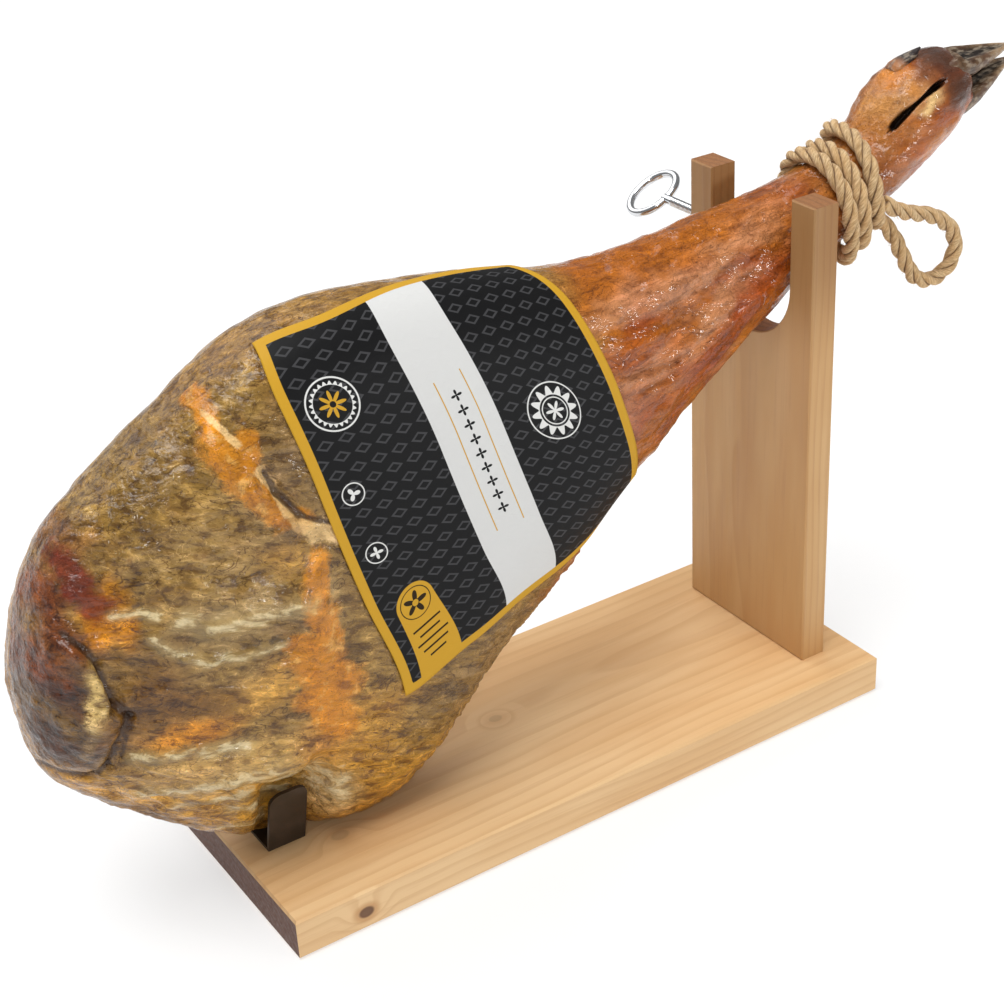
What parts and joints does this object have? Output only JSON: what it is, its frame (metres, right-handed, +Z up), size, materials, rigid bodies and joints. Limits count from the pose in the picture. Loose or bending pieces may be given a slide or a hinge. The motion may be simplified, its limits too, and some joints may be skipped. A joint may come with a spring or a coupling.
{
  "type": "cured ham on a stand",
  "caption": "Whole cured shoulder of ham with its trotter, wrapped by a printed sheet, roped at the shank and held in a pine stand with a steel bracket and a clamp screw.",
  "frame": {"origin": "centre of the base board's underside", "axes": "+X along the board towards the upright and the trotter, -Y out of the ham's broad outer face, +Z up"},
  "size_m": [0.6681, 0.1984, 0.3754],
  "materials": {
    "board_pine": "planed and oiled",
    "upright_pine": "planed and oiled",
    "black_steel": "satin black",
    "chrome": "polished",
    "cured_rind": "greasy sheen",
    "print": "smooth print",
    "rope": "laid natural fibre"
  },
  "bodies": {
    "stand": {"base_board": "board_pine", "upright": "upright_pine", "rim_bracket": "black_steel", "ham": "cured_rind", "printed_sheet": "print", "rope_winding": "rope", "rope_loop": "rope"},
    "clamp_screw": {"clamp_screw": "chrome"}
  },
  "joints": [
    {"name": "screw_turn", "type": "hinge", "parent": "stand", "child": "clamp_screw", "pos_m": [0.1745, 0.06, 0.285], "axis": [0, 1, 0], "continuous": true}
  ]
}
